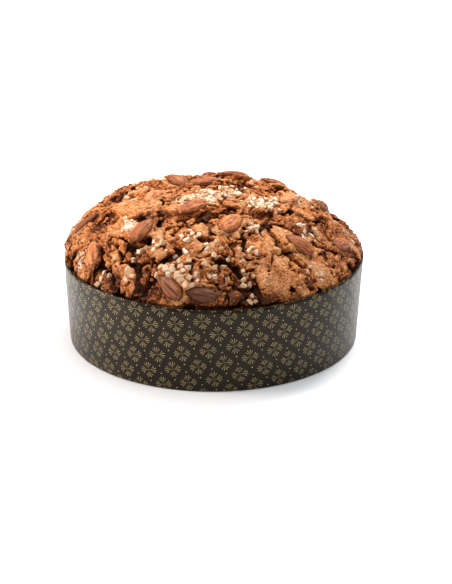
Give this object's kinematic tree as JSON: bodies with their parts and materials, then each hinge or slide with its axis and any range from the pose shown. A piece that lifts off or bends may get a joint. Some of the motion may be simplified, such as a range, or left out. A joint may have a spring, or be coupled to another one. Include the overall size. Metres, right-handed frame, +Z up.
{
  "type": "panettone",
  "caption": "Low, wide sweet bread loaf with a cracked almond glaze, whole almonds and pearl sugar, baked and standing in a printed round paper mould.",
  "frame": {"origin": "centre of the underside, on the surface the mould stands on", "axes": "+Z up out of the mould, -Y towards the front, where most of the almonds near the rim are; +X to the right seen from the front"},
  "size_m": [0.216, 0.216, 0.1117],
  "materials": {
    "crust": "dull baked crust with a dry, cracked glaze",
    "mould_paper": "dark brown baking paper, satin, printed with a small gold pattern",
    "base_paper": "plain dark brown baking paper, dull",
    "almond": "satin wrinkled skin",
    "sugar": "dull white"
  },
  "bodies": {
    "root": {"mould_wall": "mould_paper", "mould_base": "base_paper", "loaf": "crust", "almond_01": "almond", "almond_02": "almond", "almond_03": "almond", "almond_04": "almond", "almond_05": "almond", "almond_06": "almond", "almond_07": "almond", "almond_08": "almond", "almond_09": "almond", "almond_10": "almond", "almond_11": "almond", "almond_12": "almond", "almond_13": "almond", "almond_14": "almond", "almond_15": "almond", "almond_16": "almond", "almond_17": "almond", "almond_18": "almond", "almond_19": "almond", "almond_20": "almond", "almond_21": "almond", "almond_22": "almond", "pearl_sugar_01": "sugar", "pearl_sugar_02": "sugar", "pearl_sugar_03": "sugar", "pearl_sugar_04": "sugar", "pearl_sugar_05": "sugar", "pearl_sugar_06": "sugar", "pearl_sugar_07": "sugar", "pearl_sugar_08": "sugar", "pearl_sugar_09": "sugar", "pearl_sugar_10": "sugar", "pearl_sugar_11": "sugar", "pearl_sugar_12": "sugar", "pearl_sugar_13": "sugar", "pearl_sugar_14": "sugar", "pearl_sugar_15": "sugar", "pearl_sugar_16": "sugar", "pearl_sugar_17": "sugar", "pearl_sugar_18": "sugar", "pearl_sugar_19": "sugar", "pearl_sugar_20": "sugar", "pearl_sugar_21": "sugar", "pearl_sugar_22": "sugar", "pearl_sugar_23": "sugar", "pearl_sugar_24": "sugar", "pearl_sugar_25": "sugar"}
  },
  "joints": []
}
